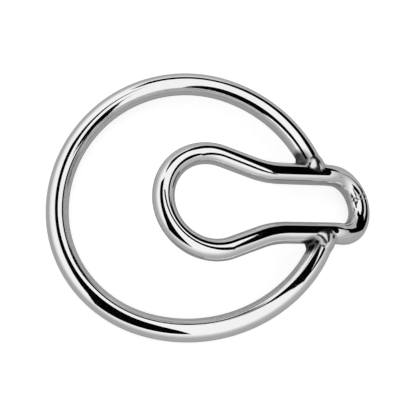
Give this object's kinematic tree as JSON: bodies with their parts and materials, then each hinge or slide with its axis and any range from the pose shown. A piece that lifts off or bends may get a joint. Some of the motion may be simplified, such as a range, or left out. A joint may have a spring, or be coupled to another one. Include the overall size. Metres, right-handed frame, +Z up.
{
  "type": "disentanglement puzzle ring",
  "caption": "Polished steel open ring whose ends are welded to a raised keyhole-shaped wire loop; the loop's bulb sits inside the ring and its neck bends out through the gap.",
  "frame": {"origin": "centre of the bounding box at table level, with the part lying at rest on the far side of the ring and on the end of the neck", "axes": "+Z up from the table, +X from the far side of the ring towards the neck, +Y across the ring"},
  "size_m": [0.092, 0.0786, 0.0239],
  "materials": {
    "polished_steel": "mirror-polished steel bar",
    "weld_steel": "weld beads ground and polished with the bars, slightly uneven"
  },
  "bodies": {
    "root": {"ring_bar": "polished_steel", "keyhole_loop_bar": "polished_steel", "upper_weld_bead": "weld_steel", "lower_weld_bead": "weld_steel", "loop_closing_weld": "weld_steel"}
  },
  "joints": []
}
